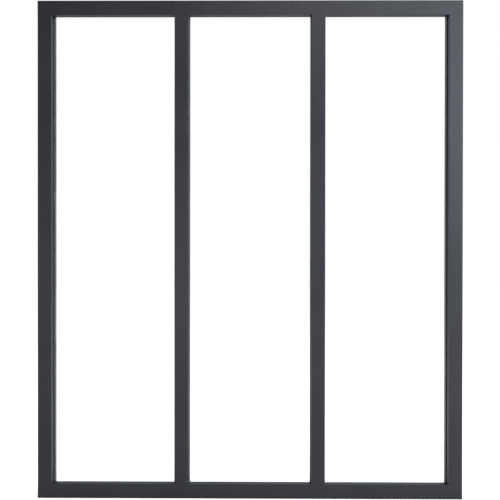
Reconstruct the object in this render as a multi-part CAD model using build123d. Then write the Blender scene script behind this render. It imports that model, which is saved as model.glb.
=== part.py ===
from build123d import *
import os

# Fixed interior glass partition: an aluminium frame of two rails, two stiles and two mullions, screwed
# together with butt joints. The panes are lifted into the channels of the rails, and beads that clip on
# the stiles and mullions close their long sides.
# X runs along the width, Y from the front face to the back, Z up from the sill. Millimetres.

# Overall sizes
frame_width = 930.0
frame_height = 1090.0
frame_depth = 40.0
bay_names = ("left", "middle", "right")
mullion_names = ("left", "right")

# Frame extrusions
core_width = 18.0  # from the wall side to the floor of the glazing rebate
rebate_depth = 12.0  # from the floor of an upright's rebate to the sight line
rail_rebate_depth = 13.5  # deeper, because the glass is lifted into the rails
stem_width = 6.0  # mullion stem between the rebates of two bays
lip_depth = 13.0  # front part, which covers the edge of the glass
wall = 1.6
edge_radius = 0.4

# Fin that closes the channel of a rail behind the glass, milled away where an upright stands
fin_thickness = 2.0
fin_end_gap = 0.5
lift_clearance = 1.0  # under the glass when it is lifted over the fin

# Glass and setting blocks
glass_thickness = 6.0
glass_arris = 0.5
edge_clearance = 4.0  # from the edge of the glass to the floor of the rebate
block_length = 50.0
block_inset = 60.0  # from the end of the glass to the middle of a block

# Gaskets and their groove in the lip
gasket_thickness = 2.0
gasket_width = 6.5
gasket_setback = 1.0  # from the sight line
gasket_groove_width = 2.4
gasket_groove_depth = 2.0

# Beads and their groove in the floor of the rebate
bead_wall = 1.2
bead_rise = 1.2  # past the sight line of the lip
bead_head_gap = 8.0  # room above a bead to lift it in
clip_groove_width = 4.0
clip_groove_depth = 2.0
fit_clearance = 0.3  # round a tongue or foot in its groove

# Screw ports along the uprights, and the holes that serve them in the rails
port_bore = 4.2
port_wall = 1.4
port_slit = 1.8
rear_port_setback = 24.5  # from the front face
mullion_port_spacing = 10.0
screw_hole = 4.8
access_hole = 7.4

# Holes for the screws that fix the frame in its opening
fixing_hole = 5.5
stile_fixing_spacing = 700.0
rail_fixing_spacing = 600.0

# Sizes that follow from those above
face_width = core_width + rebate_depth
rail_face = core_width + rail_rebate_depth
mullion_face = stem_width + 2 * rebate_depth
bay_count = len(bay_names)
sight_width = (frame_width - 2 * face_width - (bay_count - 1) * mullion_face) / bay_count
sight_height = frame_height - 2 * rail_face
bay_pitch = sight_width + mullion_face
bay_centres = [(index - (bay_count - 1) / 2) * bay_pitch for index in range(bay_count)]
mullion_centres = [centre + bay_pitch / 2 for centre in bay_centres[:-1]]
mid_height = frame_height / 2
front = -frame_depth / 2
left_side = -frame_width / 2
side_bite = rebate_depth - edge_clearance
end_bite = rail_rebate_depth - edge_clearance
fin_height = 2 * edge_clearance - lift_clearance
glass_front = lip_depth + gasket_thickness
glass_back = glass_front + glass_thickness
bead_front = glass_back + gasket_thickness
bead_depth = frame_depth - bead_front
bead_height = rebate_depth + bead_rise
clip_groove_setback = bead_front + bead_depth / 2
gasket_groove_inset = gasket_setback + gasket_width / 2
front_port_setback = (lip_depth - gasket_groove_depth) / 2
fixing_setback = glass_front + glass_thickness / 2
port_radius = port_bore / 2 + port_wall


def rectangle(u_from, u_to, v_from, v_to):
    middle = Pos((u_from + u_to) / 2, (v_from + v_to) / 2)
    return middle * Rectangle(u_to - u_from, v_to - v_from)


def block(x_range, y_range, z_range):
    sizes = [high - low for low, high in (x_range, y_range, z_range)]
    middle = Pos(*[(low + high) / 2 for low, high in (x_range, y_range, z_range)])
    return middle * Box(*sizes)


# Sections have u across the face, from the wall side inwards, and v from the front face to the back.
def rounded_outline(points, inner_corners):
    outline = make_face(Polyline(*points, close=True))
    corners = []
    for vertex in outline.vertices():
        misses = [abs(vertex.X - u) + abs(vertex.Y - v) for u, v in inner_corners]
        if min(misses) > edge_radius / 10:
            corners.append(vertex)
    return fillet(corners, edge_radius)


# Groove in the back of the lip, and the thickened wall round it.
def gasket_groove(sight_line, inwards):
    middle = sight_line - inwards * gasket_groove_inset
    half = gasket_groove_width / 2
    bottom = lip_depth - gasket_groove_depth
    groove = rectangle(middle - half, middle + half, bottom, lip_depth)
    housing = rectangle(middle - half - wall, middle + half + wall, bottom - wall, lip_depth)
    return groove, housing


# Groove in the floor of an upright's rebate, and the thickened wall round it.
def clip_groove(rebate_floor, inwards):
    half = clip_groove_width / 2
    bottom = rebate_floor - inwards * clip_groove_depth
    back = bottom - inwards * wall
    v_from = clip_groove_setback - half
    v_to = clip_groove_setback + half
    groove = rectangle(min(bottom, rebate_floor), max(bottom, rebate_floor), v_from, v_to)
    housing = rectangle(min(back, rebate_floor), max(back, rebate_floor), v_from - wall, v_to + wall)
    return groove, housing


# A screw port is a slit tube on a leg from the wall that the direction points to.
def screw_port(u, v, leg_direction):
    leg_u, leg_v = leg_direction
    leg_angle = 0 if leg_u else 90
    leg_length = port_radius * 3
    leg = Pos(u + leg_u * leg_length / 2, v + leg_v * leg_length / 2)
    leg *= Rot(0, 0, leg_angle) * Rectangle(leg_length, port_wall)
    slit = Pos(u - leg_u * port_radius / 2, v - leg_v * port_radius / 2)
    slit *= Rot(0, 0, leg_angle) * Rectangle(port_radius, port_slit)
    body = Pos(u, v) * Circle(port_radius) + leg
    hollow = Pos(u, v) * Circle(port_bore / 2) + slit
    return body, hollow


to_front_wall = (0, -1)
to_side_wall = (-1, 0)


# Outline of the rails and stiles: a lip at the front and a narrower core behind it.
def side_outline(face):
    points = [
        (0, 0),
        (face, 0),
        (face, lip_depth),
        (core_width, lip_depth),
        (core_width, frame_depth),
        (0, frame_depth),
    ]
    return rounded_outline(points, [(core_width, lip_depth)])


def front_chamber(face):
    return rectangle(wall, face - wall, wall, lip_depth - wall)


def rear_chamber():
    return rectangle(wall, core_width - wall, lip_depth, frame_depth - wall)


def rail_section():
    slot, housing = gasket_groove(rail_face, 1)
    return side_outline(rail_face) - slot - (front_chamber(rail_face) - housing) - rear_chamber()


# A stile has the groove for its bead and a screw port in each chamber.
def stile_section():
    gasket_slot, gasket_housing = gasket_groove(face_width, 1)
    clip_slot, clip_housing = clip_groove(core_width, 1)
    front_port, front_hollow = screw_port(face_width / 2, front_port_setback, to_front_wall)
    rear_port, rear_hollow = screw_port(core_width / 2, rear_port_setback, to_side_wall)
    section = side_outline(face_width) - gasket_slot - clip_slot
    section -= front_chamber(face_width) - gasket_housing - front_port
    section -= rear_chamber() - clip_housing - rear_port
    return section - front_hollow - rear_hollow


# A mullion has a front box with two screw ports, and a stem between the rebates of its two bays.
def mullion_section():
    half_face = mullion_face / 2
    half_stem = stem_width / 2
    points = [
        (-half_face, 0),
        (half_face, 0),
        (half_face, lip_depth),
        (half_stem, lip_depth),
        (half_stem, frame_depth),
        (-half_stem, frame_depth),
        (-half_stem, lip_depth),
        (-half_face, lip_depth),
    ]
    section = rounded_outline(points, [(half_stem, lip_depth), (-half_stem, lip_depth)])
    chamber = rectangle(wall - half_face, half_face - wall, wall, lip_depth - wall)
    for side in (-1, 1):
        gasket_slot, gasket_housing = gasket_groove(side * half_face, side)
        clip_slot, _ = clip_groove(side * half_stem, side)
        port, hollow = screw_port(side * mullion_port_spacing / 2, front_port_setback, to_front_wall)
        chamber = chamber - gasket_housing - port
        section = section - gasket_slot - clip_slot - hollow
    return section - chamber


# A bead is a tube with a tongue: u from the floor of the rebate inwards, v from front to back.
def bead_section():
    box = rectangle(0, bead_height, 0, bead_depth)
    sight_corners = [vertex for vertex in box.vertices() if vertex.X > bead_height / 2]
    box = fillet(sight_corners, edge_radius)
    hollow = rectangle(bead_wall, bead_height - bead_wall, bead_wall, bead_depth - bead_wall)
    middle = bead_depth / 2
    half_tongue = clip_groove_width / 2 - fit_clearance
    tongue_end = fit_clearance - clip_groove_depth
    return box - hollow + rectangle(tongue_end, bead_wall, middle - half_tongue, middle + half_tongue)


# Stand a section upright with u towards +X, between two heights.
def along_height(section, x_start, y_front, z_from, z_to):
    plane = Plane(origin=(x_start, y_front, z_from), x_dir=(1, 0, 0), z_dir=(0, 0, 1))
    return extrude(plane * section, z_to - z_from)


# Places where a screw goes through a rail into a port: x, setback, and the height of the wall it holds.
def joint_screw_places():
    places = []
    for side in (-1, 1):
        places.append((side * (frame_width - face_width) / 2, front_port_setback, rail_face))
        places.append((side * (frame_width - core_width) / 2, rear_port_setback, core_width))
        for centre in mullion_centres:
            places.append((centre + side * mullion_port_spacing / 2, front_port_setback, rail_face))
    return places


def upright_hole(diameter, x, setback, z_from, z_to):
    middle = Pos(x, front + setback, (z_from + z_to) / 2)
    return middle * Cylinder(diameter / 2, z_to - z_from)


def make_fin(centre):
    reach = sight_width / 2 - bead_rise - fin_end_gap
    fin_front = front + bead_front
    top = core_width + fin_height
    fin = block(
        (centre - reach, centre + reach), (fin_front, fin_front + fin_thickness), (core_width - wall / 2, top)
    )
    top_edges = fin.edges().filter_by(Axis.X).group_by(Axis.Z)[-1]
    return fillet(top_edges, min(edge_radius, fin_thickness * 0.4))


def make_bottom_rail():
    plane = Plane(origin=(-left_side, front, 0), x_dir=(0, 0, 1), z_dir=(-1, 0, 0))
    rail = extrude(plane * rail_section(), frame_width)
    for centre in bay_centres:
        rail += make_fin(centre)
    for x, setback, held_height in joint_screw_places():
        rail -= upright_hole(access_hole, x, setback, -wall, 2 * wall)
        rail -= upright_hole(screw_hole, x, setback, held_height - 2 * wall, held_height + wall)
    for side in (-1, 1):
        x = side * rail_fixing_spacing / 2
        rail -= upright_hole(fixing_hole, x, fixing_setback, -wall, core_width + wall)
    return rail


# Uprights stand on the rebate floors of the rails, and their front part stops at the rails' lips.
def cope_ends(upright, x_from, x_to):
    for z_from in (core_width, frame_height - rail_face):
        upright -= block((x_from, x_to), (front, front + lip_depth), (z_from, z_from + rail_rebate_depth))
    return upright


def make_left_stile():
    stile = along_height(stile_section(), left_side, front, core_width, frame_height - core_width)
    stile = cope_ends(stile, left_side, left_side + face_width)
    for side in (-1, 1):
        z = mid_height + side * stile_fixing_spacing / 2
        drill = Rot(0, 90, 0) * Cylinder(fixing_hole / 2, core_width + 2 * wall)
        stile -= Pos(left_side + core_width / 2, front + fixing_setback, z) * drill
    return stile


def make_mullion(centre):
    mullion = along_height(mullion_section(), centre, front, core_width, frame_height - core_width)
    return cope_ends(mullion, centre - mullion_face / 2, centre + mullion_face / 2)


# A flat sheet that reaches past the sight lines of a bay, at its sides and at its ends.
def bay_sheet(centre, side_reach, end_reach, setback_from, setback_to):
    half_width = sight_width / 2 + side_reach
    half_height = sight_height / 2 + end_reach
    return block(
        (centre - half_width, centre + half_width),
        (front + setback_from, front + setback_to),
        (mid_height - half_height, mid_height + half_height),
    )


def make_pane(centre):
    pane = bay_sheet(centre, side_bite, end_bite, glass_front, glass_back)
    return chamfer(pane.edges(), glass_arris)


def make_setting_blocks(centre):
    offset = sight_width / 2 + side_bite - block_inset
    blocks = []
    for side in (-1, 1):
        middle = centre + side * offset
        blocks.append(
            block(
                (middle - block_length / 2, middle + block_length / 2),
                (front + glass_front, front + glass_back),
                (core_width, core_width + edge_clearance),
            )
        )
    return Compound(children=blocks)


# A gasket is a frame that lies flat on the edge of the glass.
def gasket_frame(centre, setback):
    setback_to = setback + gasket_thickness
    reach = gasket_setback + gasket_width
    outer = bay_sheet(centre, reach, reach, setback, setback_to)
    return outer - bay_sheet(centre, gasket_setback, gasket_setback, setback, setback_to)


# The front gasket has a foot along each side, pressed into the groove of the lip.
def make_front_gasket(centre):
    gasket = gasket_frame(centre, lip_depth)
    half_foot = gasket_groove_width / 2 - fit_clearance
    foot_depth = (
        front + lip_depth - gasket_groove_depth + fit_clearance,
        front + lip_depth + gasket_thickness / 2,
    )
    half_width = sight_width / 2 - fit_clearance
    half_height = sight_height / 2 - fit_clearance
    for side in (-1, 1):
        x = centre + side * (sight_width / 2 + gasket_groove_inset)
        z = mid_height + side * (sight_height / 2 + gasket_groove_inset)
        upright_foot = (mid_height - half_height, mid_height + half_height)
        level_foot = (centre - half_width, centre + half_width)
        gasket += block((x - half_foot, x + half_foot), foot_depth, upright_foot)
        gasket += block(level_foot, foot_depth, (z - half_foot, z + half_foot))
    return gasket


# A bead stands on the floor of the bottom rail and stops short of the top rail.
def make_left_bead(centre):
    rebate_floor = centre - sight_width / 2 - rebate_depth
    bead_top = frame_height - core_width - bead_head_gap
    return along_height(bead_section(), rebate_floor, front + bead_front, core_width, bead_top)


def build_nodes():
    bottom_rail = make_bottom_rail()
    left_stile = make_left_stile()
    nodes = {
        "bottom_rail": bottom_rail,
        "top_rail": mirror(bottom_rail, about=Plane.XY.offset(mid_height)),
        "left_stile": left_stile,
        "right_stile": mirror(left_stile, about=Plane.YZ),
    }
    for name, centre in zip(mullion_names, mullion_centres):
        nodes[f"{name}_mullion"] = make_mullion(centre)
    for name, centre in zip(bay_names, bay_centres):
        left_bead = make_left_bead(centre)
        nodes[f"{name}_pane"] = make_pane(centre)
        nodes[f"{name}_bay_setting_blocks"] = make_setting_blocks(centre)
        nodes[f"{name}_bay_front_gasket"] = make_front_gasket(centre)
        nodes[f"{name}_bay_back_gasket"] = gasket_frame(centre, glass_back)
        nodes[f"{name}_bay_left_bead"] = left_bead
        nodes[f"{name}_bay_right_bead"] = mirror(left_bead, about=Plane.YZ.offset(centre))
    return nodes


os.makedirs("parts", exist_ok=True)
for node, solid in build_nodes().items():
    export_step(solid, f"parts/{node}.step")
    print(node)
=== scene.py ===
import bmesh
import bpy
import math
from mathutils import Matrix, Vector


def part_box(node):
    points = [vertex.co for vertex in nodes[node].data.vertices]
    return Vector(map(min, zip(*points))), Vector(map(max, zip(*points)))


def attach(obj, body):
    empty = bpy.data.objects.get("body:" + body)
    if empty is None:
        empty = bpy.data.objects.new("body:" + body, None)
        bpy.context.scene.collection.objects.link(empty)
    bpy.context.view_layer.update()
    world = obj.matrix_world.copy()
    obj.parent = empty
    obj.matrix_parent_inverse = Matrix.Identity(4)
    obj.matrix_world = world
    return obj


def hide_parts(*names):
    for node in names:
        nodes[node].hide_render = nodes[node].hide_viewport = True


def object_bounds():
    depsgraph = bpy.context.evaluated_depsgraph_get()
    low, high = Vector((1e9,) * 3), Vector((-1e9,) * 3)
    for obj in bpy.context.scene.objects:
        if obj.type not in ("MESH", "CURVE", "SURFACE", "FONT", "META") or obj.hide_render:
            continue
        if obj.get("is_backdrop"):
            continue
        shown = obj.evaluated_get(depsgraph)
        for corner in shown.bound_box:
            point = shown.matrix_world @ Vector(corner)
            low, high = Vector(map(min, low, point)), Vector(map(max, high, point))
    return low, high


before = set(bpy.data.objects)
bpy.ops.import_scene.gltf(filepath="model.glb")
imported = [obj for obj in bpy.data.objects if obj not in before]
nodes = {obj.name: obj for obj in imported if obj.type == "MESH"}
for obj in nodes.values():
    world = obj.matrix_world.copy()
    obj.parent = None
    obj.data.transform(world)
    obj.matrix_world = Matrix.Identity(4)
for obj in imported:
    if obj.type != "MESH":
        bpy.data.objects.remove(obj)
cadLow, cadHigh = (Vector(corner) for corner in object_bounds())
mm = 0.001
bays = ("left", "middle", "right")
print("frame loaded:", len(nodes), "nodes")

# Sizes that the pieces and finishes share, read from the solids
paneLow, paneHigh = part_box("left_pane")
beadLow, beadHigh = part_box("left_bay_left_bead")
gasketLow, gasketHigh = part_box("left_bay_back_gasket")
stileLow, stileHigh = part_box("left_stile")
mullionLow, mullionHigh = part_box("right_mullion")
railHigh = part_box("bottom_rail")[1]
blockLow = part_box("left_bay_setting_blocks")[0]
size = {
    "front": cadLow.y,
    "back": cadHigh.y,
    "halfWidth": cadHigh.x,
    "height": cadHigh.z,
    "face": stileHigh.x - stileLow.x,
    "railFace": railHigh.z,
    "core": blockLow.z,
    "gasket": gasketHigh.y - gasketLow.y,
    "paneFront": paneLow.y,
    "beadFront": beadLow.y,
    "beadTop": beadHigh.z,
    "mullionX": (mullionLow.x + mullionHigh.x) / 2,
    "wall": 1.6 * mm,
    "beadWall": 1.2 * mm,
}
size["lipBack"] = size["paneFront"] - size["gasket"]
size["rebate"] = size["face"] - size["core"]
size["pitch"] = 2 * size["mullionX"]
size["halfSight"] = size["mullionX"] - (mullionHigh.x - mullionLow.x) / 2
size["halfBeads"] = -size["pitch"] - beadHigh.x  # from the middle of a bay to the bead on each side
size["beadHeight"] = size["halfSight"] + size["rebate"] - size["halfBeads"]


# Shader maths: a wire is one socket, and sums on wires add their Math nodes
class Wire:
    def __init__(self, tree, socket=None):
        self.tree = tree
        self.socket = socket

    # Adds any node: its type, its settings, the values or links of its sockets, and the output to use
    def add(self, kind, settings=None, sockets=None, out=0):
        node = self.tree.nodes.new("ShaderNode" + kind)
        for name, value in (settings or {}).items():
            setattr(node, name, value)
        for name, value in (sockets or {}).items():
            if isinstance(value, Wire):
                self.tree.links.new(value.socket, node.inputs[name])
            else:
                node.inputs[name].default_value = value
        return Wire(self.tree, node.outputs[out])

    def sum(self, operation, *values):
        return self.add("Math", {"operation": operation}, dict(enumerate(values)))

    def __add__(self, other):
        return self.sum("ADD", self, other)

    def __radd__(self, other):
        return self.sum("ADD", other, self)

    def __sub__(self, other):
        return self.sum("SUBTRACT", self, other)

    def __rsub__(self, other):
        return self.sum("SUBTRACT", other, self)

    def __mul__(self, other):
        return self.sum("MULTIPLY", self, other)

    def __rmul__(self, other):
        return self.sum("MULTIPLY", other, self)

    def __gt__(self, other):
        return self.sum("GREATER_THAN", self, other)

    def __lt__(self, other):
        return self.sum("LESS_THAN", self, other)

    def __abs__(self):
        return self.sum("ABSOLUTE", self)

    def least(self, *others):
        result = self
        for other in others:
            result = self.sum("MINIMUM", result, other)
        return result

    def most(self, *others):
        result = self
        for other in others:
            result = self.sum("MAXIMUM", result, other)
        return result

    # Goes smoothly from 0 to 1 while this wire goes from start to end
    def fade(self, start, end):
        settings = {"interpolation_type": "SMOOTHSTEP"}
        return self.add("MapRange", settings, {0: self, 1: start, 2: end, 3: 0.0, 4: 1.0})

    def noise(self, where, scale, detail):
        return self.add("TexNoise", None, {"Vector": where, "Scale": scale, "Detail": detail})

    # Sockets 6, 7 and 2 are the colours of a Mix node
    def mixColour(self, factor, first, second):
        settings = {"data_type": "RGBA"}
        return self.add("Mix", settings, {"Factor": factor, 6: first, 7: second}, 2)

    # A bump lies on top of the one that is given as under
    def bump(self, height, distance, under=None):
        sockets = {"Height": height, "Distance": distance}
        if under:
            sockets["Normal"] = under
        return self.add("Bump", None, sockets)


def newMaterial(name):
    material = bpy.data.materials.new(name)
    material.use_nodes = True
    material.node_tree.nodes.clear()
    return material, Wire(material.node_tree)


def objectPlace(wire):
    return wire.add("TexCoord", None, None, "Object")


def axesOf(place):
    return [place.add("SeparateXYZ", None, {0: place}, axis) for axis in "XYZ"]


def showShader(wire, shader):
    output = wire.tree.nodes.new("ShaderNodeOutputMaterial")
    wire.tree.links.new(shader.socket, output.inputs["Surface"])


def colour(red, green, blue):
    return (red, green, blue, 1.0)


def rays(wire):
    path = wire.tree.nodes.new("ShaderNodeLightPath")
    kinds = ("Camera", "Shadow", "Diffuse", "Glossy", "Singular", "Transmission")
    return {kind: Wire(wire.tree, path.outputs[f"Is {kind} Ray"]) for kind in kinds}


# Frame coating: dark satin powder coat, with bare aluminium at sawn ends and inside the chambers
coating = {
    "paint": colour(0.0252, 0.0250, 0.0282),
    "paintLight": colour(0.0296, 0.0292, 0.0325),
    "cloudScale": 9.0,
    "cloudSpan": (0.3, 0.7),
    "roughness": 0.36,
    "roughnessSpread": 0.10,
    "peelScale": 520.0,
    "peelDepth": 0.07 * mm,
    "grainScale": 2600.0,
    "grainDepth": 0.03 * mm,
    "metal": colour(0.56, 0.57, 0.58),
    "metalDark": colour(0.40, 0.41, 0.42),
    "metalRoughness": 0.38,
    "sawScale": 900.0,
    "sawStretch": (1.0, 14.0, 1.0),
    "cutDepth": 0.06 * mm,
}


def makeCoating(name, bareMask):
    material, wire = newMaterial(name)
    place = objectPlace(wire)
    bare = bareMask(*axesOf(place))
    cloud = wire.noise(place, coating["cloudScale"], 3.0)
    peel = wire.noise(place, coating["peelScale"], 2.0)
    grain = wire.noise(place, coating["grainScale"], 1.0)
    stretched = wire.add("Mapping", None, {"Vector": place, "Scale": coating["sawStretch"]})
    saw = wire.noise(stretched, coating["sawScale"], 3.0)
    paint = wire.mixColour(cloud.fade(*coating["cloudSpan"]), coating["paint"], coating["paintLight"])
    metal = wire.mixColour(saw, coating["metalDark"], coating["metal"])
    paintRough = coating["roughness"] + (grain + cloud - 1.0) * coating["roughnessSpread"]
    metalRough = coating["metalRoughness"] + (saw - 0.5) * coating["roughnessSpread"]
    rough = paintRough + (metalRough - paintRough) * bare
    peelBump = wire.bump(peel * (1 - bare), coating["peelDepth"])
    grainBump = wire.bump(grain + saw * bare, coating["grainDepth"], peelBump)
    shader = wire.add(
        "BsdfPrincipled",
        None,
        {
            "Base Color": wire.mixColour(bare, paint, metal),
            "Roughness": rough,
            "Metallic": bare,
            "Normal": grainBump,
        },
    )
    showShader(wire, shader)
    return material


# How deep a point lies inside a bar with a lip at the front and a core behind it, measured from its coat
def depthInBar(across, y, face):
    inLip = across.least(face - across, y - size["front"], size["lipBack"] - y)
    inCore = across.least(size["core"] - across, y - size["front"], size["back"] - y)
    return inLip.most(inCore)


def bareInRail(x, y, z):
    across = z.least(size["height"] - z)
    sawnEnd = abs(x) > size["halfWidth"] - coating["cutDepth"]
    return (depthInBar(across, y, size["railFace"]) > size["wall"] / 2).most(sawnEnd)


def bareInStile(x, y, z):
    return depthInBar(size["halfWidth"] - abs(x), y, size["face"]) > size["wall"] / 2


def bareInMullion(x, y, z):
    aside = size["face"] / 2 - abs(abs(x) - size["mullionX"])
    return aside.least(y - size["front"], size["lipBack"] - y) > size["wall"] / 2


# Distance from the middle of the bay that a point lies in
def fromBayMiddle(x):
    wrapped = x.sum("WRAP", x, size["pitch"] / 2, -size["pitch"] / 2)
    return abs(wrapped)


def bareInBead(x, y, z):
    inward = fromBayMiddle(x) - size["halfBeads"]
    depth = inward.least(size["beadHeight"] - inward, y - size["beadFront"], size["back"] - y)
    sawnEnd = z > size["beadTop"] - coating["cutDepth"]
    return (depth > size["beadWall"] / 2).most(sawnEnd)


# Gasket rubber: black, matt, with a faint bloom
rubber = {
    "dark": colour(0.026, 0.027, 0.029),
    "bloom": colour(0.044, 0.045, 0.049),
    "bloomScale": 60.0,
    "bloomSpan": (0.4, 0.75),
    "roughness": 0.55,
    "roughnessSpread": 0.2,
    "grainScale": 1800.0,
    "grainDepth": 0.02 * mm,
}


def makeRubber():
    material, wire = newMaterial("gasketRubber")
    place = objectPlace(wire)
    bloomed = wire.noise(place, rubber["bloomScale"], 4.0).fade(*rubber["bloomSpan"])
    grain = wire.noise(place, rubber["grainScale"], 2.0)
    shader = wire.add(
        "BsdfPrincipled",
        None,
        {
            "Base Color": wire.mixColour(bloomed, rubber["dark"], rubber["bloom"]),
            "Roughness": rubber["roughness"] + (grain - 0.5) * rubber["roughnessSpread"],
            "Normal": wire.bump(grain, rubber["grainDepth"]),
        },
    )
    showShader(wire, shader)
    return material


# Clear float glass with ground edges
glass = {
    "clear": colour(0.992, 0.999, 0.996),
    "edge": colour(0.30, 0.62, 0.50),
    "edgeDepth": 0.7 * mm,
    "edgeRoughness": 0.35,
    "ior": 1.5,
}


def makeGlass():
    material, wire = newMaterial("clearGlass")
    x, y, z = axesOf(objectPlace(wire))
    halfPane = (paneHigh.x - paneLow.x) / 2
    fromSide = halfPane - fromBayMiddle(x)
    fromEnd = (z - paneLow.z).least(paneHigh.z - z)
    edge = fromSide.least(fromEnd) < glass["edgeDepth"]
    clear = wire.add(
        "BsdfPrincipled",
        None,
        {
            "Base Color": wire.mixColour(edge, glass["clear"], glass["edge"]),
            "Roughness": edge * glass["edgeRoughness"],
            "IOR": glass["ior"],
            "Transmission Weight": 1.0,
        },
    )
    through = wire.add("BsdfTransparent", None, {"Color": glass["clear"]})
    # Lamp rays and soft bounces go straight through, so the panes cast no dark shade
    ray = rays(wire)
    straight = ray["Shadow"].most(ray["Diffuse"], ray["Glossy"] * (1 - ray["Singular"]))
    showShader(wire, wire.add("MixShader", None, {0: straight, 1: clear, 2: through}))
    return material


# Setting blocks: moulded grey plastic
plastic = {
    "dark": colour(0.055, 0.057, 0.060),
    "pale": colour(0.085, 0.088, 0.092),
    "mottleScale": 220.0,
    "mottleDepth": 0.03 * mm,
    "roughness": 0.55,
    "roughnessSpread": 0.15,
}


def makePlastic():
    material, wire = newMaterial("blockPlastic")
    mottle = wire.noise(objectPlace(wire), plastic["mottleScale"], 3.0)
    shader = wire.add(
        "BsdfPrincipled",
        None,
        {
            "Base Color": wire.mixColour(mottle, plastic["dark"], plastic["pale"]),
            "Roughness": plastic["roughness"] + (mottle - 0.5) * plastic["roughnessSpread"],
            "Normal": wire.bump(mottle, plastic["mottleDepth"]),
        },
    )
    showShader(wire, shader)
    return material


# Screws: zinc plated steel
zinc = {
    "pale": colour(0.66, 0.68, 0.69),
    "yellowed": colour(0.60, 0.58, 0.50),
    "patchScale": 500.0,
    "patchSpan": (0.35, 0.7),
    "patchDepth": 0.01 * mm,
    "roughness": 0.28,
    "roughnessSpread": 0.2,
}


def makeZinc():
    material, wire = newMaterial("zincPlate")
    patch = wire.noise(objectPlace(wire), zinc["patchScale"], 3.0)
    shader = wire.add(
        "BsdfPrincipled",
        None,
        {
            "Base Color": wire.mixColour(patch.fade(*zinc["patchSpan"]), zinc["pale"], zinc["yellowed"]),
            "Roughness": zinc["roughness"] + (patch - 0.5) * zinc["roughnessSpread"],
            "Metallic": 1.0,
            "Normal": wire.bump(patch, zinc["patchDepth"]),
        },
    )
    showShader(wire, shader)
    return material


railCoating = makeCoating("railCoating", bareInRail)
stileCoating = makeCoating("stileCoating", bareInStile)
mullionCoating = makeCoating("mullionCoating", bareInMullion)
beadCoating = makeCoating("beadCoating", bareInBead)
rubberFinish = makeRubber()
glassFinish = makeGlass()
plasticFinish = makePlastic()
zincFinish = makeZinc()
finishes = {
    "rail": railCoating,
    "stile": stileCoating,
    "mullion": mullionCoating,
    "bead": beadCoating,
    "gasket": rubberFinish,
    "pane": glassFinish,
    "blocks": plasticFinish,
}
for name, node in nodes.items():
    node.data.materials.clear()
    node.data.materials.append(finishes[name.split("_")[-1]])
print("finishes on the solids:", len(finishes))

# Modelling helpers: start from nothing selected, pick faces or edges by a test, and finish a piece
tiny = 0.01 * mm
facing = 0.9  # how close to an axis the normal of a picked face comes
smoothAngle = math.radians(40)


def selectOnly(piece):
    bpy.ops.object.select_all(action="DESELECT")
    piece.select_set(True)
    bpy.context.view_layer.objects.active = piece


def pick(piece, kind, test):
    bpy.ops.mesh.select_mode(type=kind)
    bpy.ops.mesh.select_all(action="DESELECT")
    shape = bmesh.from_edit_mesh(piece.data)
    for part in shape.faces if kind == "FACE" else shape.edges:
        if test(part):
            part.select_set(True)
    bmesh.update_edit_mesh(piece.data)


def applyModifier(piece, kind, settings):
    selectOnly(piece)
    modifier = piece.modifiers.new(kind.lower(), kind)
    for name, value in settings.items():
        setattr(modifier, name, value)
    bpy.ops.object.modifier_apply(modifier=modifier.name)


def finishPiece(piece, finish):
    selectOnly(piece)
    bpy.ops.object.shade_smooth_by_angle(angle=smoothAngle)
    piece.data.materials.clear()
    piece.data.materials.append(finish)
    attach(piece, "root")


# Gaskets: four rubber strips mitred at the corners; the front ones have a foot in the groove of the lip
gasket = {
    "width": 6.5 * mm,
    "roundness": 0.4 * mm,
    "roundSteps": 2,
    "roundAngle": 0.6,
    "footWidth": 1.8 * mm,
    "footDepth": 1.7 * mm,
}


def isMitre(edge):
    run = edge.verts[0].co - edge.verts[1].co
    return abs(run.x) > tiny and abs(run.z) > tiny


def makeGasket(bay, side, hasFoot):
    node = f"{bay}_bay_{side}_gasket"
    low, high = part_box(node)
    bpy.ops.object.select_all(action="DESELECT")
    bpy.ops.mesh.primitive_plane_add(
        size=1.0,
        location=((low.x + high.x) / 2, high.y - size["gasket"], (low.z + high.z) / 2),
        rotation=(math.pi / 2, 0.0, 0.0),
    )
    piece = bpy.context.object
    piece.name = f"{bay}Bay{side.title()}Gasket"
    piece.scale = (high.x - low.x, high.z - low.z, 1.0)
    bpy.ops.object.transform_apply(location=True, rotation=True, scale=True)
    bpy.ops.object.mode_set(mode="EDIT")
    bpy.ops.mesh.select_all(action="SELECT")
    bpy.ops.mesh.inset(thickness=gasket["width"])
    bpy.ops.mesh.delete(type="FACE")
    # Cut the ring along its mitres
    pick(piece, "EDGE", isMitre)
    bpy.ops.mesh.edge_split(type="EDGE")
    bpy.ops.object.mode_set(mode="OBJECT")
    applyModifier(piece, "SOLIDIFY", {"thickness": size["gasket"], "offset": -1.0})
    if hasFoot:
        bpy.ops.object.mode_set(mode="EDIT")
        pick(piece, "FACE", lambda face: face.normal.y < -facing)
        bpy.ops.mesh.inset(thickness=(gasket["width"] - gasket["footWidth"]) / 2, use_individual=True)
        intoGroove = (0.0, -gasket["footDepth"], 0.0)
        bpy.ops.mesh.extrude_region_move(TRANSFORM_OT_translate={"value": intoGroove})
        bpy.ops.object.mode_set(mode="OBJECT")
    rounding = {
        "width": gasket["roundness"],
        "segments": gasket["roundSteps"],
        "limit_method": "ANGLE",
        "angle_limit": gasket["roundAngle"],
    }
    applyModifier(piece, "BEVEL", rounding)
    finishPiece(piece, rubberFinish)
    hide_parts(node)


for bay in bays:
    makeGasket(bay, "front", True)
    makeGasket(bay, "back", False)
print("gaskets made:", 2 * len(bays))

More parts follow.
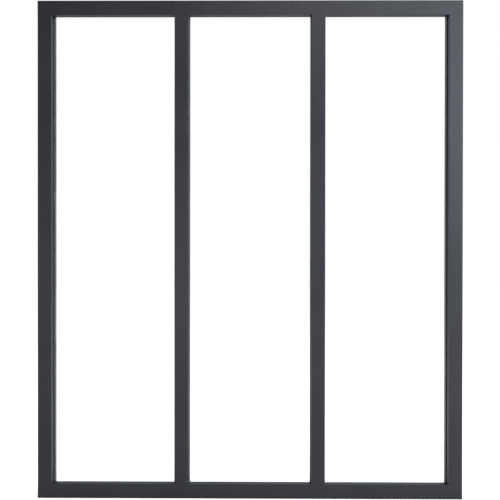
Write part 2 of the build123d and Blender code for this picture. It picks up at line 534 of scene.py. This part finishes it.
# Joining screws: a domed head with a cross recess on a ridged shank, through the rails into the uprights
screw = {
    "facets": 24,
    "headRadius": 3.5 * mm,
    "headHeight": 2.0 * mm,
    "rim": 0.7 * mm,
    "rimSteps": 3,
    "domeInset": 1.4 * mm,
    "domeRise": 0.5 * mm,
    "coreRadius": 1.6 * mm,
    "threadRadius": 2.05 * mm,
    "plainLength": 1.6 * mm,
    "flank": 0.56 * mm,
    "crest": 0.16 * mm,
    "root": 0.32 * mm,
    "ridges": 10,
    "tip": 2.5 * mm,
    "tipShare": 0.2,
    "recessReach": 3.6 * mm,
    "recessWidth": 0.9 * mm,
    "recessDepth": 1.5 * mm,
    "recessTaper": 0.6,
    "frontSetback": 5.5 * mm,
    "rearSetback": 24.5 * mm,
    "mullionSpacing": 10.0 * mm,
}


def extrudeUp(rise, spread):
    bpy.ops.mesh.extrude_region_move(TRANSFORM_OT_translate={"value": (0.0, 0.0, rise)})
    bpy.ops.transform.resize(value=(spread, spread, 1.0))


# The screw points up, with the bearing side of its head at the origin
def makeScrew():
    head = screw["headHeight"]
    bpy.ops.object.select_all(action="DESELECT")
    bpy.ops.mesh.primitive_cylinder_add(
        vertices=screw["facets"], radius=screw["headRadius"], depth=head, location=(0.0, 0.0, -head / 2)
    )
    piece = bpy.context.object
    bpy.ops.object.transform_apply(location=True, rotation=True, scale=True)
    bpy.ops.object.mode_set(mode="EDIT")
    pick(piece, "FACE", lambda face: face.normal.z < -facing)
    bpy.ops.mesh.inset(thickness=screw["domeInset"])
    bpy.ops.transform.translate(value=(0.0, 0.0, -screw["domeRise"]))
    pick(piece, "EDGE", lambda edge: all(abs(vert.co.z + head) < tiny for vert in edge.verts))
    bpy.ops.mesh.bevel(offset=screw["rim"], segments=screw["rimSteps"], affect="EDGES")
    pick(piece, "FACE", lambda face: face.normal.z > facing)
    bpy.ops.mesh.inset(thickness=screw["headRadius"] - screw["coreRadius"])
    extrudeUp(screw["plainLength"], 1.0)
    swell = screw["threadRadius"] / screw["coreRadius"]
    for ridge in range(screw["ridges"]):
        extrudeUp(screw["flank"], swell)
        extrudeUp(screw["crest"], 1.0)
        extrudeUp(screw["flank"], 1 / swell)
        extrudeUp(screw["root"], 1.0)
    extrudeUp(screw["tip"], screw["tipShare"])
    bpy.ops.object.mode_set(mode="OBJECT")
    # Two tapered cuts make the cross recess
    cutRecess(piece, screw["recessReach"], screw["recessWidth"])
    cutRecess(piece, screw["recessWidth"], screw["recessReach"])
    return piece


def cutRecess(piece, wide, deep):
    lowest = -screw["headHeight"] - screw["domeRise"]
    bpy.ops.object.select_all(action="DESELECT")
    bpy.ops.mesh.primitive_cube_add(size=1.0, location=(0.0, 0.0, lowest))
    cutter = bpy.context.object
    cutter.scale = (wide, deep, 2 * screw["recessDepth"])
    bpy.ops.object.transform_apply(location=True, rotation=True, scale=True)
    bpy.ops.object.mode_set(mode="EDIT")
    pick(cutter, "FACE", lambda face: face.normal.z > facing)
    bpy.ops.transform.resize(value=(screw["recessTaper"], screw["recessTaper"], 1.0))
    bpy.ops.object.mode_set(mode="OBJECT")
    applyModifier(piece, "BOOLEAN", {"object": cutter, "operation": "DIFFERENCE", "solver": "EXACT"})
    bpy.data.objects.remove(cutter)


# Where screws go through a rail: x, y and the height of the wall they hold
def screwSpots():
    front, rear = size["front"] + screw["frontSetback"], size["front"] + screw["rearSetback"]
    for side in (-1, 1):
        yield side * (size["halfWidth"] - size["face"] / 2), front, size["railFace"]
        yield side * (size["halfWidth"] - size["core"] / 2), rear, size["core"]
        for mullion in (-size["mullionX"], size["mullionX"]):
            yield mullion + side * screw["mullionSpacing"] / 2, front, size["railFace"]


def placeScrews():
    model = makeScrew()
    turned = Matrix.Rotation(math.pi, 4, "X")
    for count, (x, y, held) in enumerate(screwSpots()):
        below = Matrix.Translation((x, y, held - size["wall"]))
        above = Matrix.Translation((x, y, size["height"] - held + size["wall"])) @ turned
        for rail, stand in (("bottom", below), ("top", above)):
            piece = model.copy()
            piece.data = model.data.copy()
            piece.data.transform(stand)
            piece.name = f"{rail}RailScrew{count + 1}"
            bpy.context.scene.collection.objects.link(piece)
            finishPiece(piece, zincFinish)
    bpy.data.objects.remove(model)
    print("screws placed:", 2 * (count + 1))


placeScrews()

# Camera
camera = {
    "place": (0.027, -1.67, 0.554),
    "yaw": -0.4375,
    "pitch": -0.3156,
    "roll": 0.0636,
    "lens": 54.316,
    "sensor": 36.0,
    "shift": -0.0127,
}


def makeCamera():
    data = bpy.data.cameras.new("camera")
    data.sensor_width = camera["sensor"]
    data.lens = camera["lens"]
    data.shift_x = camera["shift"]
    yaw, pitch, roll = (math.radians(camera[turn]) for turn in ("yaw", "pitch", "roll"))
    ahead = Vector((math.sin(yaw) * math.cos(pitch), math.cos(yaw) * math.cos(pitch), math.sin(pitch)))
    level = Vector((math.cos(yaw), -math.sin(yaw), 0.0))
    upright = level.cross(ahead)
    right = math.cos(roll) * level + math.sin(roll) * upright
    up = math.cos(roll) * upright - math.sin(roll) * level
    turn = Matrix((right, up, -ahead)).transposed().to_4x4()
    viewer = bpy.data.objects.new("camera", data)
    viewer.matrix_world = Matrix.Translation(camera["place"]) @ turn
    bpy.context.scene.collection.objects.link(viewer)
    bpy.context.scene.camera = viewer


makeCamera()
bpy.context.scene.view_settings.view_transform = "Standard"
print("camera set")

# Lamps: square soft boxes that stand round the middle of the object and face it
lamps = {
    "side": {"azimuth": 60.0, "elevation": 14.0, "power": 86.0, "tint": (1.0, 1.0, 1.0)},
    "key": {"azimuth": 35.0, "elevation": 14.0, "power": 26.0, "tint": (0.72, 0.86, 1.0)},
    "high": {"azimuth": 12.0, "elevation": 38.0, "power": 12.6, "tint": (0.92, 0.94, 1.0)},
    "low": {"azimuth": -12.0, "elevation": -5.0, "power": 7.2, "tint": (0.90, 0.91, 1.0)},
    "rear": {"azimuth": 165.0, "elevation": 50.0, "power": 24.0, "tint": (0.94, 0.97, 1.0)},
    "fill": {"azimuth": -105.0, "elevation": 20.0, "power": 22.0, "tint": (0.94, 0.97, 1.0)},
}
lampDistance = 3.0
lampSize = 1.2


def makeLamp(name, azimuth, elevation, power, tint):
    data = bpy.data.lights.new(name, "AREA")
    data.shape = "SQUARE"
    data.size = lampSize
    data.energy = power
    data.color = tint
    around, up = math.radians(azimuth), math.radians(elevation)
    towards = Vector((math.sin(around) * math.cos(up), -math.cos(around) * math.cos(up), math.sin(up)))
    lamp = bpy.data.objects.new(name, data)
    lamp.visible_transmission = False  # no glare through the panes
    place = (cadLow + cadHigh) / 2 + towards * lampDistance
    lamp.matrix_world = Matrix.Translation(place) @ towards.to_track_quat("Z", "Y").to_matrix().to_4x4()
    bpy.context.scene.collection.objects.link(lamp)


for name, lamp in lamps.items():
    makeLamp(name, **lamp)

# Room: white where it is looked at, in glass and through it
# It lights the coating, and is mirrored in it, less from in front than from behind
room = {
    "white": 1.0,
    "air": colour(0.80, 0.87, 1.0),
    "litInFront": 0.11,
    "litBehind": 0.90,
    "mirroredInFront": 0.07,
    "mirroredBehind": 0.38,
    "turn": (-0.3, 0.7),  # of the direction's Y, from in front to behind
}


def makeRoom():
    world = bpy.data.worlds.new("room")
    world.use_nodes = True
    world.node_tree.nodes.clear()
    wire = Wire(world.node_tree)
    ray = rays(wire)
    direction = wire.add("TexCoord", None, None, "Generated")
    behind = wire.add("SeparateXYZ", None, {0: direction}, "Y").fade(*room["turn"])
    lit = room["litInFront"] + (room["litBehind"] - room["litInFront"]) * behind
    mirrored = room["mirroredInFront"] + (room["mirroredBehind"] - room["mirroredInFront"]) * behind
    seen = ray["Camera"].most(ray["Transmission"], ray["Singular"])
    level = lit + (mirrored - lit) * ray["Glossy"]
    level = level + (room["white"] - level) * seen
    light = wire.mixColour(seen, room["air"], colour(1.0, 1.0, 1.0))
    background = wire.add("Background", None, {"Color": light, "Strength": level})
    output = wire.tree.nodes.new("ShaderNodeOutputWorld")
    wire.tree.links.new(background.socket, output.inputs["Surface"])
    bpy.context.scene.world = world


makeRoom()

# Floor: pale, lifted to white where it is looked at, and still darker where the object shades it
floor = {
    "half": 8.0,
    "drop": 0.2 * mm,
    "paint": colour(0.48, 0.48, 0.48),
    "liftNear": 0.64,
    "liftFar": 0.88,
    "near": 0.25,
    "sideRate": 8.0,
    "frontRate": 30.0,
    "mirrored": 0.22,
    "mirrorReach": 0.8,
}


def makeFloor():
    bpy.ops.object.select_all(action="DESELECT")
    bpy.ops.mesh.primitive_plane_add(size=2 * floor["half"], location=(0, 0, -floor["drop"]))
    ground = bpy.context.object
    ground.name = "floor"
    material, wire = newMaterial("floorPaint")
    ray = rays(wire)
    x, y, z = axesOf(objectPlace(wire))
    mirrored = ray["Glossy"] * y.fade(0.0, floor["mirrorReach"]) * floor["mirrored"]
    seen = ray["Camera"].most(ray["Transmission"], ray["Singular"], mirrored)
    # The lift dips only close behind the object, where its shade lies
    aside = (abs(x) - size["halfWidth"]) * floor["sideRate"]
    ahead = (size["front"] - y) * floor["frontRate"]
    away = (y - size["back"]).most(aside, ahead)
    lift = floor["liftNear"] + (floor["liftFar"] - floor["liftNear"]) * away.fade(0.0, floor["near"])
    matt = wire.add("BsdfDiffuse", None, {"Color": floor["paint"]})
    glow = wire.add("Emission", None, {"Color": colour(1.0, 1.0, 1.0), "Strength": seen * lift})
    showShader(wire, wire.add("AddShader", None, {0: matt, 1: glow}))
    ground.data.materials.append(material)
    ground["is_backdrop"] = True


makeFloor()
print("lamps, room and floor set")
